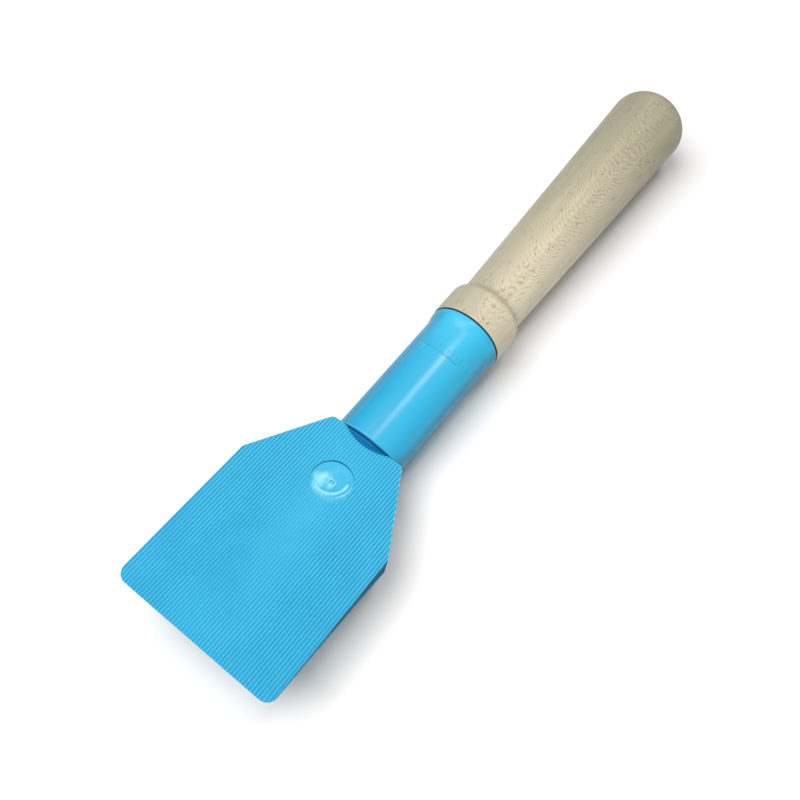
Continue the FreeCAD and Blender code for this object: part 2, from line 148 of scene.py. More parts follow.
# The collar's outline: how far along, and how far under its radius, in millimetres.
COLLAR_FALL = ((1.2, 0), (8.0, 0), (13.6, 0), (15.0, 0.02), (16.1, 0.14), (17.0, 0.5), (18.0, 0.95))
NECK_AT = 23.8 * MM
NECK_RADIUS = 16.35 * MM
GRIP_RADIUS = 21.1 * MM
GRIP_LENGTH = 175.0 * MM
END_LENGTH = 15.8 * MM
END_SHOULDER = 11.0 * MM
TENON_RADIUS = 14.5 * MM
TENON_CHAMFER = 1.5 * MM

# Retaining screw, under the socket.
SCREW_AT = 32.0 * MM
SCREW_HOLE = 1.8 * MM
SCREW_HEAD = 3.6 * MM
SCREW_SINK = 0.45 * MM

AROUND = 192
BEYOND = 12.0 * MM


def rest_matrix():
    """From the blade's frame to the tool's, where it lies on its heel with the land level."""
    turn = Matrix.Rotation(math.atan2(LAND_RISE, HEEL_LAND), 4, "Y")
    land = Vector((BLADE_LENGTH - HEEL_LAND / 2, 0, -(HEEL_DEPTH + LAND_RISE / 2)))
    return Matrix.Translation(-(turn @ land)) @ turn


def socket_matrix():
    """From the socket's frame to the blade's: its origin on the axis at the blade's rear edge."""
    start = Matrix.Translation((BLADE_LENGTH, 0, -SOCKET_DROP))
    return start @ Matrix.Rotation(-SOCKET_RISE, 4, "Y")


def new_object(name, vertices, faces):
    mesh = bpy.data.meshes.new(name)
    mesh.from_pydata([tuple(v) for v in vertices], [], faces)
    mesh.validate()
    item = bpy.data.objects.new(name, mesh)
    bpy.context.collection.objects.link(item)
    return item


def outward(item):
    """Makes the faces of a closed mesh face outwards."""
    shape = bmesh.new()
    shape.from_mesh(item.data)
    bmesh.ops.recalc_face_normals(shape, faces=shape.faces)
    shape.to_mesh(item.data)
    shape.free()
    return item


def apply_modifiers(item):
    graph = bpy.context.evaluated_depsgraph_get()
    mesh = bpy.data.meshes.new_from_object(item.evaluated_get(graph))
    old = item.data
    item.modifiers.clear()
    item.data = mesh
    bpy.data.meshes.remove(old)


def round_edges(item, width, segments, over):
    """Rounds the edges that turn by more than an angle in degrees."""
    rounding = item.modifiers.new("rounding", "BEVEL")
    rounding.width = width
    rounding.segments = segments
    rounding.limit_method = "ANGLE"
    rounding.angle_limit = math.radians(over)
    apply_modifiers(item)


def combine(item, tool, operation):
    """Joins or cuts one closed mesh with another, which is used up."""
    change = item.modifiers.new("combine", "BOOLEAN")
    change.operation = operation
    change.solver = "MANIFOLD"
    change.object = tool
    apply_modifiers(item)
    bpy.data.objects.remove(tool)


def shade(item, angle=32.0):
    """Smooth shading, except across edges that are sharper than the angle."""
    item.data.shade_smooth()
    item.data.set_sharp_from_angle(angle=math.radians(angle))


def lathe(name, profile, around=AROUND):
    """A closed solid turned about X from (along, radius) points; the first and last are on the axis."""
    rings = profile[1:-1]
    vertices = [(profile[0][0], 0, 0), (profile[-1][0], 0, 0)]
    angles = [2 * math.pi * step / around for step in range(around)]
    for along, radius in rings:
        vertices += [(along, radius * math.cos(a), radius * math.sin(a)) for a in angles]
    faces = []
    for step in range(around):
        following = (step + 1) % around
        faces.append((0, 2 + step, 2 + following))
        last = 2 + (len(rings) - 1) * around
        faces.append((1, last + following, last + step))
        for ring in range(len(rings) - 1):
            low = 2 + ring * around
            high = low + around
            faces.append((low + step, high + step, high + following, low + following))
    return outward(new_object(name, vertices, faces))


def prism(name, corners, low, high):
    """A closed solid that stands on the corners, which are (x, y) points."""
    count = len(corners)
    vertices = [(x, y, low) for x, y in corners] + [(x, y, high) for x, y in corners]
    faces = [tuple(range(count))[::-1], tuple(range(count, 2 * count))]
    for corner in range(count):
        following = (corner + 1) % count
        faces.append((corner, following, count + following, count + corner))
    return outward(new_object(name, vertices, faces))


def block(name, low, high):
    corners = [(low[0], low[1]), (high[0], low[1]), (high[0], high[1]), (low[0], high[1])]
    return prism(name, corners, low[2], high[2])


def arc_points(centre, radius, start, end, steps):
    """Points along an arc, from one angle to another in degrees, both ends included."""
    angles = np.radians(np.linspace(start, end, steps + 1))
    return [(centre[0] + radius * math.cos(a), centre[1] + radius * math.sin(a)) for a in angles]


# The blade.


def sole_depth(along):
    """How far the sole is under the ribbed face: a hollow curve, then the level land."""
    land_start = BLADE_LENGTH - HEEL_LAND
    start, end = Vector((0, -TIP_DEPTH)), Vector((land_start, -(HEEL_DEPTH + LAND_RISE)))
    chord = end - start
    drop = math.sqrt(SOLE_RADIUS**2 - chord.length_squared / 4)
    centre = (start + end) / 2 - Vector((-chord.y, chord.x)).normalized() * drop
    curve = -(centre.y + np.sqrt(SOLE_RADIUS**2 - (along - centre.x) ** 2))
    land = HEEL_DEPTH + LAND_RISE * (BLADE_LENGTH - along) / HEEL_LAND
    return np.where(along < land_start, curve, land)


def rear_outline():
    """The rear half of the blade's inset plan as (across, along): rear edge, corner, side, shoulder."""
    inset = EDGE_ROUND
    slope = math.atan2(BLADE_HALF - REAR_HALF, BLADE_LENGTH - SHOULDER)
    half, length = BLADE_HALF - inset, BLADE_LENGTH - inset
    rear_half = REAR_HALF - inset * math.tan((math.pi / 2 - slope) / 2)
    shoulder = SHOULDER - inset * math.tan(slope / 2)
    rear = rounded_corner((0, length), (rear_half, length), (half, shoulder), REAR_CORNER - inset, 10)
    side = rounded_corner((rear_half, length), (half, shoulder), (half, 0), SHOULDER_CORNER - inset, 6)
    return [(0.0, length)] + rear + side


def rounded_corner(before, corner, after, radius, steps):
    """Points along the arc that rounds a corner."""
    corner = Vector(corner)
    back = (Vector(before) - corner).normalized()
    ahead = (Vector(after) - corner).normalized()
    half_angle = back.angle(ahead) / 2
    centre = corner + (back + ahead).normalized() * radius / math.sin(half_angle)
    reach = radius / math.tan(half_angle)
    first, last = corner + back * reach - centre, corner + ahead * reach - centre
    sweep = first.angle_signed(last)
    points = []
    for step in range(steps + 1):
        turned = Matrix.Rotation(-sweep * step / steps, 2) @ first
        points.append(tuple(centre + turned))
    return points


def groove(across):
    """Depth of the grooves between the ribs: rounded ribs with narrower, rounded valleys."""
    wave = 0.5 + 0.5 * np.cos(2 * np.pi * across / RIB_PITCH)
    return GROOVE_DEPTH * GROOVE_LEFT * wave**1.5


def rib_strength(along, across):
    """Ribs are shallower in a soft streak that runs from the gate towards the tip."""
    width = STREAK_HALF + STREAK_WIDENING * (GATE_AT - along)
    streak = np.exp(-((across / width) ** 2))
    reach = np.clip((along - STREAK_START) / STREAK_FADE, 0, 1) * np.clip((GATE_AT - along) / MM, 0, 1)
    return 1 - STREAK_SHALLOWER * streak * reach


def across_stations():
    """Where the blade's lengthwise lines run: eight to a rib, closer where the corners turn."""
    half = BLADE_HALF - EDGE_ROUND
    stations = set(np.round(np.arange(0, half, RIB_PITCH / 8), 7))
    for radius in (TIP_CORNER - EDGE_ROUND, SHOULDER_CORNER - EDGE_ROUND):
        for degrees in range(0, 90, 6):
            stations.add(round(half - radius * (1 - math.cos(math.radians(degrees))), 7))
    stations = sorted(stations)
    kept = [stations[0]]
    for station in stations[1:]:
        if station - kept[-1] > 0.02 * MM:
            kept.append(station)
    kept[-1] = half
    return np.array([-s for s in kept[:0:-1]] + kept)


def blade_grid():
    """Plan places of the blade's surface: lengthwise lines from the tip edge to the rear edge."""
    across = across_stations()
    rear = np.array(rear_outline())
    ends = np.interp(np.abs(across), rear[:, 0], rear[:, 1])
    half, corner = BLADE_HALF - EDGE_ROUND, TIP_CORNER - EDGE_ROUND
    into = np.clip(np.abs(across) - (half - corner), 0, corner)
    starts = EDGE_ROUND + corner - np.sqrt(corner**2 - into**2)
    share = np.linspace(0, 1, BLADE_ROWS)[:, None]
    along = starts[None, :] * (1 - share) + ends[None, :] * share
    return along, np.repeat(across[None, :], len(share), 0)


def border(rows, columns):
    """The grid's border as vertex numbers, once round."""
    grid = np.arange(rows * columns).reshape(rows, columns)
    return np.concatenate([grid[0, :], grid[1:, -1], grid[-1, -2::-1], grid[-2:0:-1, 0]])


def make_blade():
    """The blade as a closed solid: ribbed face, rounded rims, walls and sole."""
    along, across = blade_grid()
    rows, columns = along.shape
    top = -groove(across) * rib_strength(along, across)
    bottom = -sole_depth(along)
    vertices = np.concatenate(
        [
            np.stack([along, across, top], 2).reshape(-1, 3),
            np.stack([along, across, bottom], 2).reshape(-1, 3),
        ]
    )
    edge = border(rows, columns)
    place = vertices[edge, :2]
    ahead = np.roll(place, -1, 0) - np.roll(place, 1, 0)
    out = np.stack([ahead[:, 1], -ahead[:, 0]], 1)
    out /= np.linalg.norm(out, axis=1)[:, None]
    if ((place - place.mean(0)) * out).sum() < 0:
        out = -out
    loops = []
    for step in range(1, EDGE_STEPS + 1):
        angle = math.pi / 2 * step / EDGE_STEPS
        spot = place + out * EDGE_ROUND * math.sin(angle)
        cut = groove(spot[:, 1]) * rib_strength(spot[:, 0], spot[:, 1])
        fall = np.maximum(cut, EDGE_ROUND * (1 - math.cos(angle)))
        loops.append(np.column_stack([spot, -fall]))
    for step in range(EDGE_STEPS, 0, -1):
        angle = math.pi / 2 * step / EDGE_STEPS
        spot = place + out * EDGE_ROUND * math.sin(angle)
        rise = EDGE_ROUND * (1 - math.cos(angle))
        loops.append(np.column_stack([spot, rise - sole_depth(spot[:, 0])]))
    size = len(edge)
    first = len(vertices)
    vertices = np.concatenate([vertices] + loops)
    rings = [edge] + [first + size * n + np.arange(size) for n in range(len(loops))]
    rings.append(edge + rows * columns)
    faces = []
    for sheet in (0, rows * columns):
        grid = sheet + np.arange(rows * columns).reshape(rows, columns)
        quads = np.stack([grid[:-1, :-1], grid[1:, :-1], grid[1:, 1:], grid[:-1, 1:]], 2)
        faces += quads.reshape(-1, 4).tolist()
    for ring, following in zip(rings, rings[1:]):
        quads = np.stack([ring, np.roll(ring, -1), np.roll(following, -1), following], 1)
        faces += quads.tolist()
    return outward(new_object("moulded_paddle", vertices, faces))


def core_half(along):
    """Half the hollow's width under the blade's slanting sides."""
    taper = (BLADE_HALF - REAR_HALF) / (BLADE_LENGTH - SHOULDER)
    return BLADE_HALF - taper * (along - SHOULDER) - SLANTING_WALL


def make_cores():
    """The cells that hollow the underside, with rounded upright edges."""
    half, turn = BLADE_HALF - WALL, SHOULDER - WALL / 2
    left = [(CORE_START, half), (turn, half), (CORE_END, core_half(CORE_END))]
    corners = left + [(x, -y) for x, y in reversed(left)]
    low, high = -(HEEL_DEPTH + BEYOND), -SKIN
    cores = prism("cores", corners, low, high)
    for number in (-2, -1, 0, 1, 2):
        middle = WEB_SPACING * number
        end = CORE_END + WALL if abs(number) < 2 else SHOULDER + WEB_SPACING
        near = (CORE_START - WALL, middle - WEB / 2, low - WALL)
        far = (end, middle + WEB / 2, high + WALL)
        combine(cores, block("web", near, far), "DIFFERENCE")
    for number in (1, 2):
        middle = CORE_START + CROSS_WEB_SPACING * number
        near = (middle - WEB / 2, -BLADE_HALF, low - WALL)
        far = (middle + WEB / 2, BLADE_HALF, high + WALL)
        combine(cores, block("cross_web", near, far), "DIFFERENCE")
    round_edges(cores, CORE_ROUND, 3, 25)
    return cores


def gate_floor(places):
    """Heights of the gate's floor over its depth, at places across it."""
    reach = np.hypot(places[:, 0], places[:, 1])
    from_middle = np.linalg.norm(places - RIDGE_AXIS * RIDGE_OFFSET, axis=1)
    to_tip = np.clip((1.5 * MM - places @ RIDGE_AXIS) / (3.5 * MM), 0, 1)
    ridge = RIDGE_HEIGHT * to_tip * np.exp(-(((from_middle - RIDGE_RADIUS) / RIDGE_WIDTH) ** 2))
    bowl = BOWL_DEPTH * np.exp(-((reach / BOWL_RADIUS) ** 2))
    dimple = DIMPLE_DEPTH * np.exp(-((reach / DIMPLE_RADIUS) ** 4))
    nub = NUB_HEIGHT * np.exp(-(((reach - NUB_RADIUS) / NUB_WIDTH) ** 2))
    lumps = np.array([noise.noise(Vector(place) * LUMP_SCALE + Vector((2, 7, 4))) for place in places])
    lumps *= LUMP_HEIGHT * np.exp(-((reach / LUMPS_WITHIN) ** 6))
    inside = np.clip((GATE_RADIUS - reach) / GATE_EDGE, 0, 1)
    return ridge - bowl - dimple + nub + lumps + GATE_EDGE_RISE * (1 - inside) ** 2


def make_gate_cutter():
    """A plug with the gate recess's floor as its underside."""
    rings, around = 56, 120
    vertices = [(0, 0, 0)]
    for ring in range(1, rings + 1):
        reach = GATE_RADIUS * ring / rings
        for step in range(around):
            angle = 2 * math.pi * step / around
            vertices.append((reach * math.cos(angle), reach * math.sin(angle), 0))
    vertices = np.array(vertices)
    vertices[:, 2] = gate_floor(vertices)
    faces = []
    for step in range(around):
        following = (step + 1) % around
        faces.append((0, 1 + step, 1 + following))
        for ring in range(rings - 1):
            low = 1 + ring * around
            high = low + around
            faces.append((low + step, high + step, high + following, low + following))
    rim_start = 1 + (rings - 1) * around
    lid = vertices[rim_start:] * (1, 1, 0) + (0, 0, 3 * MM)
    first = len(vertices)
    vertices = np.concatenate([vertices, lid])
    for step in range(around):
        following = (step + 1) % around
        faces.append((rim_start + step, first + step, first + following, rim_start + following))
    faces.append(tuple(range(first, first + around)))
    cutter = outward(new_object("gate", vertices, faces))
    place = Matrix.Translation((GATE_AT, 0, -GATE_DEPTH)) @ Matrix.Rotation(GATE_TILT, 4, "Y")
    cutter.data.transform(place)
    return cutter


# The socket.


def mouth_profile():
    """The socket's outside near its mouth: a soft flare, a straight lip and its rounded rim."""
    points = []
    flare_end = SOCKET_LENGTH - MOUTH_FLARE / 6
    for share in np.linspace(0, 1, 13):
        along = SOCKET_LENGTH - MOUTH_FLARE + share * (flare_end - SOCKET_LENGTH + MOUTH_FLARE)
        rise = share * share * (3 - 2 * share)
        points.append((along, SOCKET_RADIUS + (MOUTH_RADIUS - SOCKET_RADIUS) * rise))
    centre = (SOCKET_LENGTH - MOUTH_ROUND, MOUTH_RADIUS - MOUTH_ROUND)
    return points + arc_points(centre, MOUTH_ROUND, 90, 0, 6)


def make_socket():
    """The socket's outside, with its front cut off flat where it stands over the blade."""
    straight = [(along, SOCKET_RADIUS) for along in np.linspace(-ROOT, SOCKET_LENGTH - MOUTH_FLARE, 24)]
    profile = [(-ROOT, 0)] + straight + mouth_profile()[1:] + [(SOCKET_LENGTH, 0)]
    socket = lathe("socket", profile)
    socket.data.transform(socket_matrix())
    low, high = -NOTCH_FLOOR, BEYOND
    foot = (BLADE_LENGTH - low * math.tan(FRONT_LEAN), low)
    head = (BLADE_LENGTH - high * math.tan(FRONT_LEAN), high)
    corners = [(BLADE_LENGTH - BEYOND, low), foot, head, (BLADE_LENGTH - BEYOND, high)]
    front = prism("front", corners, -SOCKET_RADIUS * 2, SOCKET_RADIUS * 2)
    front.data.transform(Matrix.Rotation(math.pi / 2, 4, "X"))
    combine(socket, front, "DIFFERENCE")
    return socket


def make_marks():
    """A raised line over the socket and a row of ticks beside it, in place of any lettering."""
    low, high = SOCKET_RADIUS - MARK_ROOT, SOCKET_RADIUS + MARK_HEIGHT
    start = SOCKET_LENGTH - MARK_AT
    marks = [ring_segment("line", start, start + MARK_WIDTH, low, high, 0, MARK_SWEEP)]
    for number in range(TICKS):
        turn = MARK_SWEEP * (number / (TICKS - 1) - 0.5)
        first = start + MARK_WIDTH * 3
        marks.append(ring_segment("tick", first, first + TICK_LENGTH, low, high, turn, MARK_WIDTH / high))
    return marks


def ring_segment(name, start, end, low, high, middle, sweep):
    """A piece of a ring about the socket's axis, its middle turned from straight up, softly bevelled."""
    steps = max(2, int(math.degrees(sweep) / 2))
    vertices = []
    for step in range(steps + 1):
        angle = middle + sweep * (step / steps - 0.5)
        for along, radius in ((start, low), (end, low), (end, high), (start, high)):
            vertices.append((along, radius * math.sin(angle), radius * math.cos(angle)))
    faces = [(0, 1, 2, 3), tuple(4 * steps + n for n in (3, 2, 1, 0))]
    for step in range(steps):
        for side in range(4):
            following = (side + 1) % 4
            base = 4 * step
            faces.append((base + side, base + following, base + 4 + following, base + 4 + side))
    item = outward(new_object(name, vertices, faces))
    round_edges(item, MARK_ROUND, 2, 30)
    item.data.transform(socket_matrix())
    return item


def make_notch():
    """The notch in front of the socket's end wall."""
    radius = (NOTCH_HALF**2 + NOTCH_LENGTH**2) / (2 * NOTCH_LENGTH)
    spread = math.degrees(math.asin(NOTCH_HALF / radius))
    centre = (BLADE_LENGTH + radius - NOTCH_LENGTH, 0)
    curve = arc_points(centre, radius, 180 + spread, 180 - spread, 24)
    return prism("notch", curve, -NOTCH_FLOOR, 0.01 * MM)


def make_bore():
    floor = SOCKET_LENGTH - BORE_DEPTH
    end = SOCKET_LENGTH + BEYOND
    profile = [
        (floor, 0),
        (floor, BORE_RADIUS),
        (SOCKET_LENGTH - BORE_LEAD, BORE_RADIUS),
        (SOCKET_LENGTH, BORE_RADIUS + BORE_LEAD),
        (end, BORE_RADIUS + BORE_LEAD),
        (end, 0),
    ]
    bore = lathe("bore", profile)
    bore.data.transform(socket_matrix())
    return bore


def make_screw_hole():
    seat = SOCKET_RADIUS - SCREW_SINK
    outside, inside = seat + 2 * MM, BORE_RADIUS - MM
    profile = [
        (-outside, 0),
        (-outside, SCREW_HEAD),
        (-seat, SCREW_HEAD),
        (-(seat - SCREW_HEAD + SCREW_HOLE), SCREW_HOLE),
        (-inside, SCREW_HOLE),
        (-inside, 0),
    ]
    hole = lathe("screw_hole", profile, 48)
    upright = Matrix.Rotation(-math.pi / 2, 4, "Y")
    along = Matrix.Translation((SOCKET_LENGTH - SCREW_AT, 0, 0))
    hole.data.transform(socket_matrix() @ along @ upright)
    return hole


def make_paddle():
    paddle = make_blade()
    combine(paddle, make_cores(), "DIFFERENCE")
    combine(paddle, make_socket(), "UNION")
    combine(paddle, make_notch(), "DIFFERENCE")
    combine(paddle, make_gate_cutter(), "DIFFERENCE")
    for mark in make_marks():
        combine(paddle, mark, "UNION")
    combine(paddle, make_bore(), "DIFFERENCE")
    combine(paddle, make_screw_hole(), "DIFFERENCE")
    paddle.data.transform(rest_matrix())
    shade(paddle)
    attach(paddle, "root")
    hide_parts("paddle")
    return paddle


# The handle.


def handle_profile():
    """The handle's outline from the tenon to the rounded end."""
    tenon = BORE_DEPTH + COLLAR_GAP
    past_shoulder = END_LENGTH - END_SHOULDER
    crown = (END_LENGTH**2 + GRIP_RADIUS**2 - 2 * GRIP_RADIUS * END_SHOULDER) / (2 * past_shoulder)
    crown_centre = GRIP_LENGTH + END_LENGTH - crown
    lean = math.degrees(math.atan2(GRIP_RADIUS - END_SHOULDER, GRIP_LENGTH - crown_centre))
    points = [(-tenon, 0), (-tenon, TENON_RADIUS - TENON_CHAMFER), (TENON_CHAMFER - tenon, TENON_RADIUS)]
    points += [(along, TENON_RADIUS) for along in np.linspace(2 * MM - tenon, 0, 8)]
    points += arc_points((COLLAR_EDGE, COLLAR_RADIUS - COLLAR_EDGE), COLLAR_EDGE, 180, 90, 5)
    points += collar_step()
    for along in np.linspace(NECK_AT, GRIP_LENGTH, 76)[1:]:
        share = (along - NECK_AT) / (GRIP_LENGTH - NECK_AT)
        points.append((along, NECK_RADIUS + (GRIP_RADIUS - NECK_RADIUS) * share))
    points += arc_points((GRIP_LENGTH, GRIP_RADIUS - END_SHOULDER), END_SHOULDER, 90, lean, 14)[1:]
    points += arc_points((crown_centre, 0), crown, lean, 0, 24)[1:]
    return points


def collar_step():
    """From the collar's top down to the neck: a rounded shoulder and a soft hollow."""
    points = [(along * MM, COLLAR_RADIUS - fall * MM) for along, fall in COLLAR_FALL]
    start = points[-1]
    for share in np.linspace(0, 1, 14)[1:]:
        along = start[0] + (NECK_AT - start[0]) * share
        ease = 1 - (1 - share) ** 2.2
        points.append((along, start[1] + (NECK_RADIUS - start[1]) * ease))
    return points


def make_handle():
    handle = lathe("turned_handle", handle_profile())
    handle.data.transform(Matrix.Translation((SOCKET_LENGTH + COLLAR_GAP, 0, 0)))
    handle.data.transform(rest_matrix() @ socket_matrix())
    shade(handle, 40)
    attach(handle, "root")
    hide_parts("handle")
    return handle


# The looks.


class Look:
    """A procedural material: nodes are added to it and joined by name."""

    def __init__(self, name, rough):
        self.material = bpy.data.materials.new(name)
        self.material.use_nodes = True
        self.tree = self.material.node_tree
        self.shader = self.tree.nodes["Principled BSDF"]
        self.shader.inputs["Roughness"].default_value = rough
        self.at = self.place()
        self.color = None

    def node(self, kind, sockets=None, **settings):
        """Adds a node; a socket is given either a value or the output of another node."""
        made = self.tree.nodes.new(kind)
        for key, value in settings.items():
            setattr(made, key, value)
        for key, value in (sockets or {}).items():
            self.give(made.inputs[key], value)
        return made

    def give(self, socket, value):
        if isinstance(value, bpy.types.NodeSocket):
            self.tree.links.new(value, socket)
        else:
            socket.default_value = value

    def place(self, scale=(1, 1, 1), turn=(0, 0, 0), shift=(0, 0, 0)):
        """Places in metres in the tool's frame, moved, turned and stretched for a pattern."""
        at = self.node("ShaderNodeTexCoord").outputs["Object"]
        moved = self.vector("SUBTRACT", at, shift, "Vector")
        sockets = {"Vector": moved, "Rotation": turn, "Scale": scale}
        return self.node("ShaderNodeMapping", sockets).outputs[0]

    def facing(self):
        return self.node("ShaderNodeNewGeometry").outputs["Normal"]

    def noise(self, at, scale, detail=3.0, rough=0.5, bend=0.0):
        sockets = {"Vector": at, "Scale": scale, "Detail": detail, "Roughness": rough, "Distortion": bend}
        return self.node("ShaderNodeTexNoise", sockets).outputs["Fac"]

    def stretched(self, scale, detail, rough=0.5, bend=0.0, turn=(0, 0, 0), shift=(0, 0, 0)):
        """Noise with a scale of its own along each axis."""
        return self.noise(self.place(scale, turn, shift), 1.0, detail, rough, bend)

    def patches(self, scale, span, detail=3.0, rough=0.5):
        """Irregular patches: noise taken through a span."""
        return self.span(self.noise(self.at, scale, detail, rough), *span)

    def math(self, operation, first, second=0.0, third=0.0):
        return self.node("ShaderNodeMath", {0: first, 1: second, 2: third}, operation=operation).outputs[0]

    def times(self, first, *others):
        for other in others:
            first = self.math("MULTIPLY", first, other)
        return first

    def larger(self, first, second):
        return self.math("MAXIMUM", first, second)

    def without(self, share):
        return self.math("SUBTRACT", 1.0, share)

    def distance_from_zero(self, value):
        return self.math("ABSOLUTE", value)

    def vector(self, operation, first, second=(0, 0, 0), output="Value"):
        sockets = {0: first, 1: second}
        return self.node("ShaderNodeVectorMath", sockets, operation=operation).outputs[output]

    def span(self, value, low, high, start=0.0, end=1.0):
        """Maps low..high smoothly to start..end."""
        sockets = {"Value": value, 1: low, 2: high, 3: start, 4: end}
        return self.node("ShaderNodeMapRange", sockets, interpolation_type="SMOOTHSTEP").outputs[0]

    def mix(self, share, first, second, blend="MIX"):
        """Mixes two colours, each a colour or the output of another node."""
        made = self.node("ShaderNodeMix", data_type="RGBA", blend_type=blend)
        self.give(made.inputs[0], share)
        self.give(made.inputs[6], first)
        self.give(made.inputs[7], second)
        return made.outputs[2]

    def add(self, share, color, blend="MIX"):
        """Lays a share of a colour over what is there."""
        self.color = self.mix(share, self.color, color, blend)

    def split(self, vector):
        return self.node("ShaderNodeSeparateXYZ", {0: vector}).outputs

    def bump(self, height, strength, distance, normal=None):
        sockets = {"Height": height, "Strength": strength, "Distance": distance}
        if normal is not None:
            sockets["Normal"] = normal
        return self.node("ShaderNodeBump", sockets).outputs[0]

    def finish(self, rough, normal):
        self.give(self.shader.inputs["Base Color"], self.color)
        self.give(self.shader.inputs["Roughness"], rough)
        self.give(self.shader.inputs["Normal"], normal)
        return self.material


# A span says from where to where a share grows, and then the share at either end if not 0 and 1.
# It is along X, Y or Z in metres, over a part of a facing (1 is square to the axis), or over noise.
SOFT = (0.3, 0.7)

BLUE = (0.028, 0.328, 0.538, 1)
BLUE_DEEP = (0.023, 0.292, 0.495, 1)
BLUE_PALE = (0.070, 0.480, 0.680, 1)
BLUE_DIRT_AND_SHADE = (0.004, 0.150, 0.270, 1)
BLUE_GATE_SHADE = (0.001, 0.140, 0.270, 1)
BLUE_FLANK_LIGHT = (0.042, 0.460, 0.730, 1)
BLUE_SIDE_SHADE = (0.000, 0.080, 0.160, 1)
BLUE_SHADE = (0.001, 0.130, 0.340, 1)
BLUE_RIM_HIGHLIGHT = (0.200, 0.650, 0.820, 1)
BLUE_SOCKET_SHADE = (0.005, 0.262, 0.460, 1)
GATE_HIGHLIGHT = (0.230, 0.600, 0.720, 1)

PLASTIC_ROUGH = 0.38
PLASTIC_IOR = 1.28
COAT_ROUGH = 0.24

# The moulding's own colour, and painted light that makes the blade paler towards its rear.
PAINTED_LIGHT_TO_REAR = (-0.09, 0.0, 0.0, 0.32)
FLOW_STRETCH = (9, 55, 20)
FLOW_MARKS = (0.5, 0.78, 0.0, 0.10)

# The ribbed face, which ends at the socket, and its streak of shallower ribs; painted shade in the
# valleys, weaker along the middle and towards the tip.
FACE_UP = (0.55, 0.8)
FACE_END = (0.004, 0.005, 1.0, 0.0)
FACE_MARGIN = 0.4 * MM
VALLEY = (0.1, 0.9)
VALLEY_BESIDE_STREAK = (0.004, 0.022, 0.5, 1.0)
VALLEY_ALONG = (-0.10, -0.01, 0.40, 0.64)
CREST = (-0.4, -0.95)
SCUFFS = (0.42, 0.7, 0.0, 0.22)

# The slanting rims, with a painted highlight on them, and the walls under them, with painted shade.
SLANT_AHEAD = (0.12, 0.20)
SLANT_RIGHT = (-0.10, -0.20)
RIM_UP = (0.02, 0.20)
RIM_HIGH = (0.0290, 0.0295)
RIM_END = (0.006, 0.004)
RIM_PATCHES = (0.35, 0.6, 0.6, 1.0)
WALL_UP = (0.30, 0.12)
WALL_END = (0.0055, 0.0045)
WALL_PATCHES = (0.3, 0.7, 0.75, 0.95)

# The gate recess: painted shade on its wall, a painted highlight patch on one side of it, a painted
# highlight along a ridge and painted shade in the dimple.
GATE_WALL = (-0.35, -0.6)
GATE_WALL_SHARE = 0.9
HIGHLIGHT_AXIS = (-0.612, 0.791, 0)
HIGHLIGHT_PATCHES = (0.35, 0.62, 0.25, 1.0)
HIGHLIGHT_SHARE = 0.72
DIMPLE_SHADE = (1.1 * MM, 0.5 * MM, 0.0, 0.75)

# The socket: painted shade that deepens its blue towards the blade, a painted highlight on its top near
# the mouth, painted light on its right flank and crown, and painted shade on its sides where they turn
# away.
SOCKET_START = (0.004, 0.006)
SOCKET_SHADE_ALONG = (0.02, 0.085, 0.85, 0.20)
MOUTH_HIGHLIGHT_ALONG = (0.045, 0.075)
MOUTH_HIGHLIGHT_PATCHES = (0.3, 0.7, 0.0, 0.25)
MOUTH_HIGHLIGHT_UP = (0.6, 0.95)
LIT_FLANK_RIGHT = (0.0, -0.5)
LIT_FLANK_SHARE = 0.62
CROWN_SHEEN_UP = (0.84, 0.99, 0.0, 0.16)
EDGE_SHADE_LEFT = (0.45, 0.80, 0.0, 0.60)
EDGE_SHADE_RIGHT = (-0.84, -0.98, 0.0, 0.6)

# The shaded notch and the socket's front in it.
FRONT_BACKWARD = (-0.6, -0.9)
FRONT_START = (0.0005, 0.0015)
NOTCH_START = (0.0010, 0.0016)
NOTCH_END = (0.0060, 0.0054)
NOTCH_SIDES = (0.0124, 0.0120)
NOTCH_SHARE = 0.92

# The raised line and ticks, a little dirty.
MARKS_START = (0.050, 0.052)
MARKS_END = (0.066, 0.064)
MARKS_SHARE = 0.55

# Wear, gloss and grain.
WORN_EDGE = (0.52, 0.58)
WORN_PATCHES = (0.3, 0.6, 0.3, 0.7)
SCRATCH_STRETCH = (60, 900, 400)
SCRATCH_TURN = (0, 0, 0.5)
SCRATCHES = (0.68, 0.75, 0.0, 0.05)
ROUGH_PATCHES = (0.3, 0.7, 0.40, 0.52)
SOCKET_SMOOTHER = -0.22
DULL_ROUGH = 0.95
COAT_UP = (0.60, 0.88, 0.0, 0.48)
COAT_ALONG = (0.070, 0.056, 0.2, 1.0)


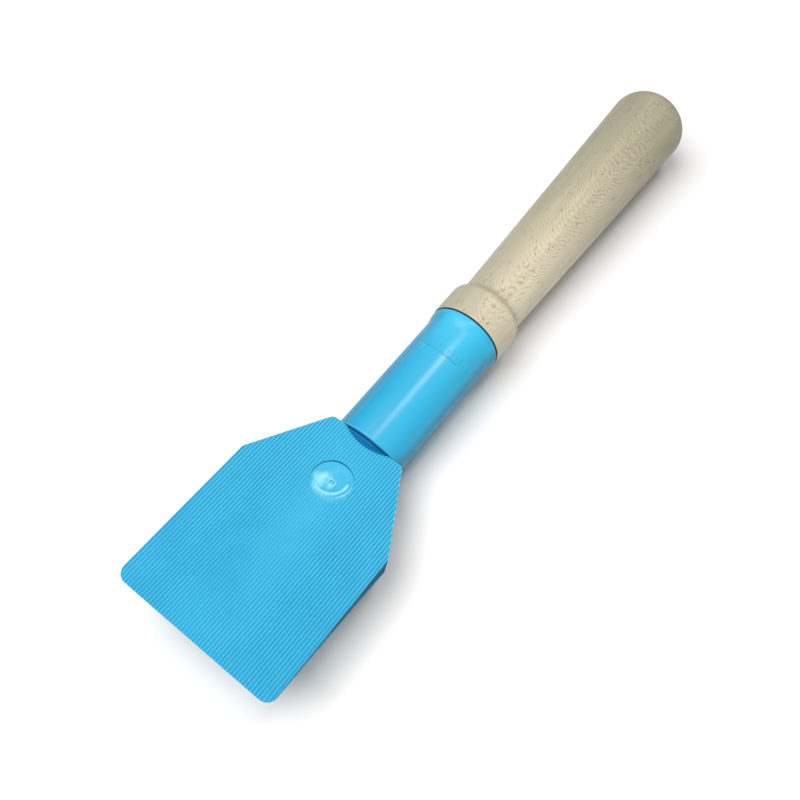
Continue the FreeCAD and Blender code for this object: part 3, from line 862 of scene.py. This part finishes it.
class Plastic(Look):
    """Blue moulded plastic: satin, flow marks from the gate, worn rib crests, painted shade in the
    grooves.
    """

    def __init__(self):
        super().__init__("blue_plastic", PLASTIC_ROUGH)
        self.shader.inputs["IOR"].default_value = PLASTIC_IOR
        self.shader.inputs["Coat Roughness"].default_value = COAT_ROUGH
        self.x, self.y, self.z = self.split(self.at)
        self.ahead, self.left, self.up = self.split(self.facing())
        self.gate = rest_matrix() @ Vector((GATE_AT, 0, -GATE_DEPTH))
        self.away = self.vector("DISTANCE", self.at, self.gate)
        self.socket = self.span(self.x, *SOCKET_START)

    def moulding(self):
        self.color = self.mix(self.patches(28.0, SOFT, 4.0, 0.6), BLUE_DEEP, BLUE)
        # Painted light: the blade paler towards its rear.
        self.add(self.span(self.x, *PAINTED_LIGHT_TO_REAR), BLUE_PALE)
        flow = self.stretched(FLOW_STRETCH, 4.0, 0.6, 0.4)
        self.add(self.span(flow, *FLOW_MARKS), BLUE_PALE)

    def ribs(self):
        """Painted shade in the valleys and scuffs on the crests. Gives where the ribbed face is."""
        turned = self.math("COSINE", self.times(self.y, 2 * math.pi / RIB_PITCH))
        outside_gate = self.span(self.away, GATE_RADIUS, GATE_RADIUS + FACE_MARGIN)
        face = self.times(self.span(self.up, *FACE_UP), self.span(self.x, *FACE_END), outside_gate)
        beside_streak = self.span(self.distance_from_zero(self.y), *VALLEY_BESIDE_STREAK)
        # Painted shade in the rib valleys.
        valley = self.times(self.span(turned, *VALLEY), face, beside_streak)
        self.add(self.times(valley, self.span(self.x, *VALLEY_ALONG)), BLUE_DIRT_AND_SHADE)
        crest = self.times(self.span(turned, *CREST), face)
        self.add(self.times(crest, self.patches(90.0, SCUFFS, 5.0, 0.7)), BLUE_PALE)
        return face

    def tube(self):
        # Painted shade: the socket a deeper blue towards the blade.
        self.add(self.times(self.socket, self.span(self.x, *SOCKET_SHADE_ALONG)), BLUE_SOCKET_SHADE)
        # Painted highlight in patches on the socket's top near its mouth.
        mouth_highlight = self.times(self.span(self.x, *MOUTH_HIGHLIGHT_ALONG), self.patches(45.0, MOUTH_HIGHLIGHT_PATCHES))
        self.add(self.times(mouth_highlight, self.span(self.up, *MOUTH_HIGHLIGHT_UP)), BLUE_PALE)

    def rims(self):
        # Painted highlight along the right-hand slanting rims.
        slanting = self.times(self.span(self.ahead, *SLANT_AHEAD), self.span(self.left, *SLANT_RIGHT))
        rim = self.times(slanting, self.span(self.up, *RIM_UP), self.span(self.z, *RIM_HIGH))
        outside_gate = self.span(self.away, GATE_RADIUS + 0.2 * MM, GATE_RADIUS + 0.6 * MM)
        rim = self.times(rim, outside_gate, self.patches(70.0, RIM_PATCHES))
        self.add(self.times(rim, self.span(self.x, *RIM_END)), BLUE_RIM_HIGHLIGHT)

    def walls(self):
        """Painted shade on the side walls. Gives where they are."""
        upright = self.span(self.distance_from_zero(self.up), *WALL_UP)
        wall = self.times(upright, self.span(self.x, *WALL_END), self.patches(50.0, WALL_PATCHES))
        # Painted shade on the blade's side walls.
        self.add(wall, BLUE_SIDE_SHADE)
        return wall

    def recess(self):
        # Painted shade on the recess's wall on the handle's side.
        wall = self.times(
            self.span(self.ahead, *GATE_WALL),
            self.span(self.away, GATE_RADIUS * 0.93, GATE_RADIUS),
            self.span(self.away, GATE_RADIUS * 1.2, GATE_RADIUS * 1.1),
        )
        self.add(self.times(wall, GATE_WALL_SHARE), BLUE_GATE_SHADE)
        # Painted highlights: a glossy patch on one side of the recess's floor and a line along its ridge.
        from_gate = self.vector("SUBTRACT", self.at, self.gate, "Vector")
        over = self.vector("DOT_PRODUCT", from_gate, HIGHLIGHT_AXIS)
        along = self.vector("DOT_PRODUCT", from_gate, RIDGE_AXIS)
        patch = self.times(
            self.span(over, -1.0 * MM, 0.3 * MM),
            self.span(over, 8.6 * MM, 6.6 * MM),
            self.span(along, -4.5 * MM, -2.0 * MM),
            self.span(along, 5.6 * MM, 3.6 * MM),
            self.patches(300.0, HIGHLIGHT_PATCHES, 2.0),
        )
        ridge_middle = self.gate + Vector(RIDGE_AXIS * RIDGE_OFFSET)
        from_middle = self.vector("DISTANCE", self.at, ridge_middle)
        from_ridge = self.distance_from_zero(self.math("SUBTRACT", from_middle, RIDGE_RADIUS))
        towards_tip = self.span(along, -0.6 * MM, -2.4 * MM)
        ridge = self.times(self.span(from_ridge, 1.1 * MM, 0.2 * MM), towards_tip)
        inside = self.span(self.away, GATE_RADIUS * 0.97, GATE_RADIUS * 0.86, 0.0, HIGHLIGHT_SHARE)
        self.add(self.times(self.larger(patch, ridge), inside), GATE_HIGHLIGHT)
        # Painted shade in the dimple.
        self.add(self.span(self.away, *DIMPLE_SHADE), BLUE_DIRT_AND_SHADE)

    def tube_sides(self):
        # Painted light on the socket's right flank.
        lit_flank = self.times(self.span(self.left, *LIT_FLANK_RIGHT), self.socket)
        self.add(self.times(lit_flank, LIT_FLANK_SHARE), BLUE_FLANK_LIGHT)
        # Painted sheen along the socket's crown.
        self.add(self.times(self.span(self.up, *CROWN_SHEEN_UP), self.socket), BLUE_PALE)
        # Painted shade on the socket's sides, where they turn away from the top.
        edge_shade = self.larger(self.span(self.left, *EDGE_SHADE_LEFT), self.span(self.left, *EDGE_SHADE_RIGHT))
        self.add(self.times(edge_shade, self.socket), BLUE_DIRT_AND_SHADE)

    def notch(self):
        """The shade in the notch and on the socket's front. Gives where it is."""
        front = self.times(self.span(self.ahead, *FRONT_BACKWARD), self.span(self.x, *FRONT_START))
        square_to_face = rest_matrix().to_3x3() @ Vector((0, 0, 1))
        height = self.vector("DOT_PRODUCT", self.at, square_to_face)
        level = rest_matrix().translation.dot(square_to_face)
        sunk = self.times(
            self.span(height, level - 0.5 * MM, level - 0.8 * MM),
            self.span(self.x, *NOTCH_START),
            self.span(self.x, *NOTCH_END),
            self.span(self.distance_from_zero(self.y), *NOTCH_SIDES),
        )
        shaded = self.larger(front, sunk)
        self.add(self.times(shaded, NOTCH_SHARE), BLUE_SHADE)
        return shaded

    def marks(self):
        """The raised marks, which are all that stands out of the socket's cylinder there."""
        to_tool = rest_matrix() @ socket_matrix()
        spoke = self.vector("SUBTRACT", self.at, to_tool.translation, "Vector")
        axis = to_tool.to_3x3() @ Vector((1, 0, 0))
        reach = self.vector("LENGTH", self.vector("CROSS_PRODUCT", spoke, axis, "Vector"))
        raised = self.span(reach, SOCKET_RADIUS + 0.02 * MM, SOCKET_RADIUS + 0.10 * MM)
        mark = self.times(raised, self.span(self.x, *MARKS_END), self.span(self.x, *MARKS_START))
        self.add(self.times(mark, MARKS_SHARE), BLUE_DIRT_AND_SHADE)

    def wear(self, face):
        edge = self.node("ShaderNodeNewGeometry").outputs["Pointiness"]
        worn = self.times(self.span(edge, *WORN_EDGE), self.patches(60.0, WORN_PATCHES))
        self.add(self.times(worn, self.without(face)), BLUE_PALE)
        scratch = self.stretched(SCRATCH_STRETCH, 2.0, turn=SCRATCH_TURN)
        self.add(self.span(scratch, *SCRATCHES), BLUE_PALE)

    def surface(self, dull, shaded):
        """Roughness, a coat that gives the gate and the socket's top their gloss, and a fine grain."""
        inner = GATE_RADIUS * 0.8
        rough = self.patches(140.0, ROUGH_PATCHES, 4.0, 0.6)
        rough = self.times(rough, self.span(self.away, inner, GATE_RADIUS, 0.35, 1.0))
        rough = self.times(rough, self.math("MULTIPLY_ADD", self.socket, SOCKET_SMOOTHER, 1.0))
        rough = self.larger(rough, self.times(dull, DULL_ROUGH))
        coat = self.span(self.away, inner, GATE_RADIUS, 0.7, 0.0)
        coat = self.larger(coat, self.times(self.socket, self.span(self.up, *COAT_UP)))
        coat = self.times(coat, self.span(self.x, *COAT_ALONG), self.without(shaded))
        self.give(self.shader.inputs["Coat Weight"], coat)
        grain = self.span(self.away, inner, GATE_RADIUS, 0.02, 0.12)
        return self.finish(rough, self.bump(self.noise(self.at, 900.0, 2.0), grain, 0.3 * MM))


def plastic_look():
    look = Plastic()
    look.moulding()
    face = look.ribs()
    look.tube()
    look.rims()
    walls = look.walls()
    look.recess()
    look.tube_sides()
    shaded = look.notch()
    look.marks()
    look.wear(face)
    return look.surface(look.larger(walls, shaded), shaded)


BEECH = (0.420, 0.378, 0.270, 1)
BEECH_PALE = (0.520, 0.470, 0.345, 1)
BEECH_DARK = (0.640, 0.560, 0.480, 1)
BEECH_GREY = (0.265, 0.255, 0.190, 1)
BEECH_END_SHADE = (0.272, 0.255, 0.176, 1)
BEECH_SHADE = (0.150, 0.147, 0.112, 1)
BEECH_LIFT = (1.17, 1.165, 1.15, 1)
BEECH_FLECK = (0.180, 0.125, 0.072, 1)
BEECH_LIT = (0.610, 0.560, 0.425, 1)
GAP_SHADE = (0.006, 0.055, 0.065, 1)

BEECH_ROUGH = 0.6
# The growth rings lie square to this direction and dip along the handle by this slope.
RING_NORMAL = (0, -0.304, 0.953)
RING_DIP = 0.20
RING_PITCH = 0.75 * MM
RING_SWAY = 5.5 * MM
RING_RIPPLE = 1.45 * MM
# The direction of the painted light: painted shade lies on the side turned away from it.
PAINTED_LIGHT_FROM = (0, -0.86, 0.51)

# Painted shade: grey on the side away from the painted light, darker towards the end; painted light on the
# right side; more painted shade towards the end and on the end face; greyer on the collar.
SHADE_SIDE = (0.72, -0.15)
SHADE_PATCHES = (0.2, 0.7, 0.55, 0.9)
SHADE_DARKER = (0.11, 0.25)
LIT_RIGHT = (-0.30, -0.80, 0.0, 0.80)
SHADE_TO_END = (0.12, 0.26, 0.0, 0.88)
END_SHADE_SIDE = (0.45, -0.15)
END_SHADE_ALONG = (0.17, 0.25, 0.0, 0.28)
COLLAR_DULLER = (0.105, 0.085, 0.0, 0.16)
END_DARKER = (0.15, 0.75, 0.0, 0.40)

# Grain: arcs where the rings surface, which fade on the collar and near the end.
SURFACING = (0.80, 0.95, 0.06, 1.0)
FAINTER_ON_COLLAR = (0.085, 0.110, 0.6, 1.0)
FAINTER_AT_END = (0.215, 0.255, 1.0, 0.5)
ARC = (0.0, 1.0)
ARC_BLOTCHES = (0.44, 0.64, 0.0, 0.62)
BETWEEN = (-0.2, -0.95)
BETWEEN_BLOTCHES = (0.40, 0.62, 0.10, 0.80)
STREAKS = (0.45, 0.70, 0.0, 0.75)
FLECKS = (0.62, 0.71)
FLECK_PATCHES = (0.48, 0.60, 0.0, 0.75)
# Painted shade on the collar's face, in the gap at the socket's mouth.
GAP_FACING = (-0.75, -0.9)


class Beech(Look):
    """Bare beech: nested arcs where the rings surface, straight grain beside them, and flecks."""

    def __init__(self):
        super().__init__("beech", BEECH_ROUGH)
        self.x = self.split(self.at)[0]
        self.normal = self.facing()
        self.ahead, self.left, _ = self.split(self.normal)

    def rings(self):
        """A wave that goes up and down once per growth ring."""
        sway = self.stretched((22, 60, 60), 2.5)
        ripple = self.stretched((110, 260, 260), 3.0, 0.6)
        height = self.vector("DOT_PRODUCT", self.at, RING_NORMAL)
        ring = self.math("MULTIPLY_ADD", self.x, RING_DIP, height)
        ring = self.math("MULTIPLY_ADD", sway, RING_SWAY, ring)
        ring = self.math("MULTIPLY_ADD", ripple, RING_RIPPLE, ring)
        return self.math("SINE", self.times(ring, 2 * math.pi / RING_PITCH))

    def tone_and_shade(self):
        broad = self.stretched((10, 60, 60), 3.0, 0.6, shift=(0.3, 0.1, 0))
        self.color = self.mix(self.span(broad, *SOFT), BEECH, BEECH_PALE)
        # Painted shade: grey on the side away from the painted light, darker towards the end.
        side = self.vector("DOT_PRODUCT", self.normal, PAINTED_LIGHT_FROM)
        painted_shade = self.times(self.span(side, *SHADE_SIDE), self.span(broad, *SHADE_PATCHES))
        grey = self.mix(self.span(self.x, *SHADE_DARKER), BEECH_GREY, BEECH_SHADE)
        self.add(painted_shade, grey)
        # Painted light on the handle's right side.
        self.add(self.span(self.left, *LIT_RIGHT), BEECH_LIT)
        # Painted shade: the handle greyer towards its end, and darker still there on the side away from
        # the painted light.
        self.add(self.span(self.x, *SHADE_TO_END), BEECH_END_SHADE)
        end_shade = self.times(self.span(side, *END_SHADE_SIDE), self.span(self.x, *END_SHADE_ALONG))
        self.add(end_shade, BEECH_SHADE)
        self.add(self.span(self.x, *COLLAR_DULLER), BEECH_GREY)
        # Painted shade on faces turned towards the handle's end.
        self.add(self.span(self.ahead, *END_DARKER), BEECH_SHADE)

    def grain(self, wave):
        blotch = self.stretched((200, 420, 420), 3.0, 0.6, shift=(0.1, 0.2, 0))
        surfacing = self.times(
            self.span(self.vector("DOT_PRODUCT", self.normal, RING_NORMAL), *SURFACING),
            self.span(self.x, *FAINTER_ON_COLLAR),
            self.span(self.x, *FAINTER_AT_END),
        )
        arcs = self.times(self.span(wave, *ARC), self.span(blotch, *ARC_BLOTCHES), surfacing)
        self.add(arcs, BEECH_DARK, "MULTIPLY")
        between = self.times(self.span(wave, *BETWEEN), self.span(blotch, *BETWEEN_BLOTCHES), surfacing)
        self.add(between, BEECH_LIFT, "MULTIPLY")
        streaks = self.stretched((12, 260, 260), 3.0, 0.6)
        self.add(self.span(streaks, *STREAKS), BEECH_LIFT, "MULTIPLY")
        flecks = self.stretched((300, 1200, 1200), 1.0)
        fleck = self.times(self.span(flecks, *FLECKS), self.patches(160.0, FLECK_PATCHES, 2.0))
        self.add(fleck, BEECH_FLECK)
        # Painted shade on the collar's face in the gap at the socket's mouth.
        self.add(self.span(self.ahead, *GAP_FACING), GAP_SHADE)


def wood_look():
    look = Beech()
    wave = look.rings()
    look.tone_and_shade()
    look.grain(wave)
    normal = look.bump(wave, 0.10, 0.2 * MM)
    normal = look.bump(look.stretched((260, 1600, 1600), 2.0), 0.25, 0.2 * MM, normal)
    return look.finish(look.patches(120.0, (0.3, 0.7, 0.5, 0.66)), normal)


STEEL = (0.42, 0.42, 0.41, 1)
STEEL_DULL = (0.24, 0.23, 0.22, 1)


def steel_look():
    """Zinc-plated steel: turned marks and dull patches."""
    look = Look("steel", 0.35)
    look.shader.inputs["Metallic"].default_value = 1.0
    look.color = look.mix(look.patches(500.0, (0.4, 0.65), 4.0, 0.6), STEEL, STEEL_DULL)
    normal = look.bump(look.stretched((2500, 2500, 300), 2.0), 0.15, 0.1 * MM)
    return look.finish(look.patches(1500.0, (0.3, 0.7, 0.26, 0.44)), normal)


CARD = (0.735, 0.735, 0.735, 1)
CARD_CLOUD = (0.755, 0.755, 0.755, 1)
CARD_SHADOW_LIFT = (0.860, 0.850, 0.842, 1)
CARD_FAR = (0.94, 0.94, 0.94, 1)
CARD_MIDDLE = (0.08, 0, 0)


def floor_look():
    """White card with a faint tooth, a shade lighter away from the tool, and painted light beside the
    blade that lightens its shadow.
    """
    look = Look("floor_card", 0.85)
    x, y, _ = look.split(look.at)
    look.color = look.mix(look.patches(3.0, SOFT), CARD, CARD_CLOUD)
    # Painted light: the card lighter beside the blade's right side, where the blade's shadow falls.
    along = look.times(look.span(x, 0.06, -0.02), look.span(x, -0.12, -0.09))
    look.add(look.times(along, look.span(y, 0.0, -0.04)), CARD_SHADOW_LIFT)
    away = look.vector("DISTANCE", look.at, CARD_MIDDLE)
    look.add(look.span(away, 0.20, 0.38), CARD_FAR)
    normal = look.bump(look.noise(look.at, 1200.0, 2.0), 0.05, 0.2 * MM)
    return look.finish(look.patches(40.0, (0.3, 0.7, 0.8, 0.9)), normal)


# The studio.


def make_camera():
    data = bpy.data.cameras.new("camera")
    data.lens = LENS_MM
    data.sensor_width = SENSOR_MM
    camera = bpy.data.objects.new("camera", data)
    bpy.context.collection.objects.link(camera)
    turn = (CAMERA_AIM - CAMERA_AT).to_track_quat("-Z", "Y")
    camera.rotation_mode = "QUATERNION"
    camera.rotation_quaternion = turn @ Quaternion((0, 0, 1), CAMERA_ROLL)
    camera.location = CAMERA_AT
    bpy.context.scene.camera = camera


FLOOR_HALF = 3.0


def make_floor():
    corners = [(x * FLOOR_HALF, y * FLOOR_HALF, 0) for x, y in ((-1, -1), (1, -1), (1, 1), (-1, 1))]
    floor = new_object("floor", corners, [(0, 1, 2, 3)])
    floor.data.materials.append(floor_look())


# Softboxes: name, place, aim, width, height and power. A wide round one hangs over the tool's left, a
# small one over the handle draws the light along the tube, and a weak one stands low before the tip.
BENCH = Vector((0.04, 0, 0.02))
LIGHTS = (
    ("key", Vector((-0.17, 0.38, 1.03)), BENCH, 0.90, 0.90, 14.6),
    ("strip", Vector((0.47, -0.05, 0.95)), Vector((0.12, 0, 0)), 0.22, 0.34, 2.5),
    ("front", Vector((-0.55, -0.28, 0.27)), Vector((-0.10, 0, 0)), 0.40, 0.25, 1.0),
)
SKY = 0.34
SKY_TINT = (1.0, 0.965, 0.93, 1)


def make_lights():
    for name, at, aim, width, height, power in LIGHTS:
        data = bpy.data.lights.new(name, "AREA")
        data.shape = "ELLIPSE"
        data.size = width
        data.size_y = height
        data.energy = power
        light = bpy.data.objects.new(name, data)
        bpy.context.collection.objects.link(light)
        light.location = at
        light.rotation_mode = "QUATERNION"
        light.rotation_quaternion = (aim - at).to_track_quat("-Z", "Y")
    world = bpy.data.worlds.new("studio")
    world.use_nodes = True
    sky = world.node_tree.nodes["Background"]
    sky.inputs["Color"].default_value = SKY_TINT
    sky.inputs["Strength"].default_value = SKY
    bpy.context.scene.world = world
    bpy.context.scene.view_settings.view_transform = "Standard"


make_camera()
make_floor()
make_lights()
paddle = make_paddle()
handle = make_handle()
paddle.data.materials.clear()
paddle.data.materials.append(plastic_look())
handle.data.materials.append(wood_look())
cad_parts["retaining_screw"].material_slots[0].material = steel_look()
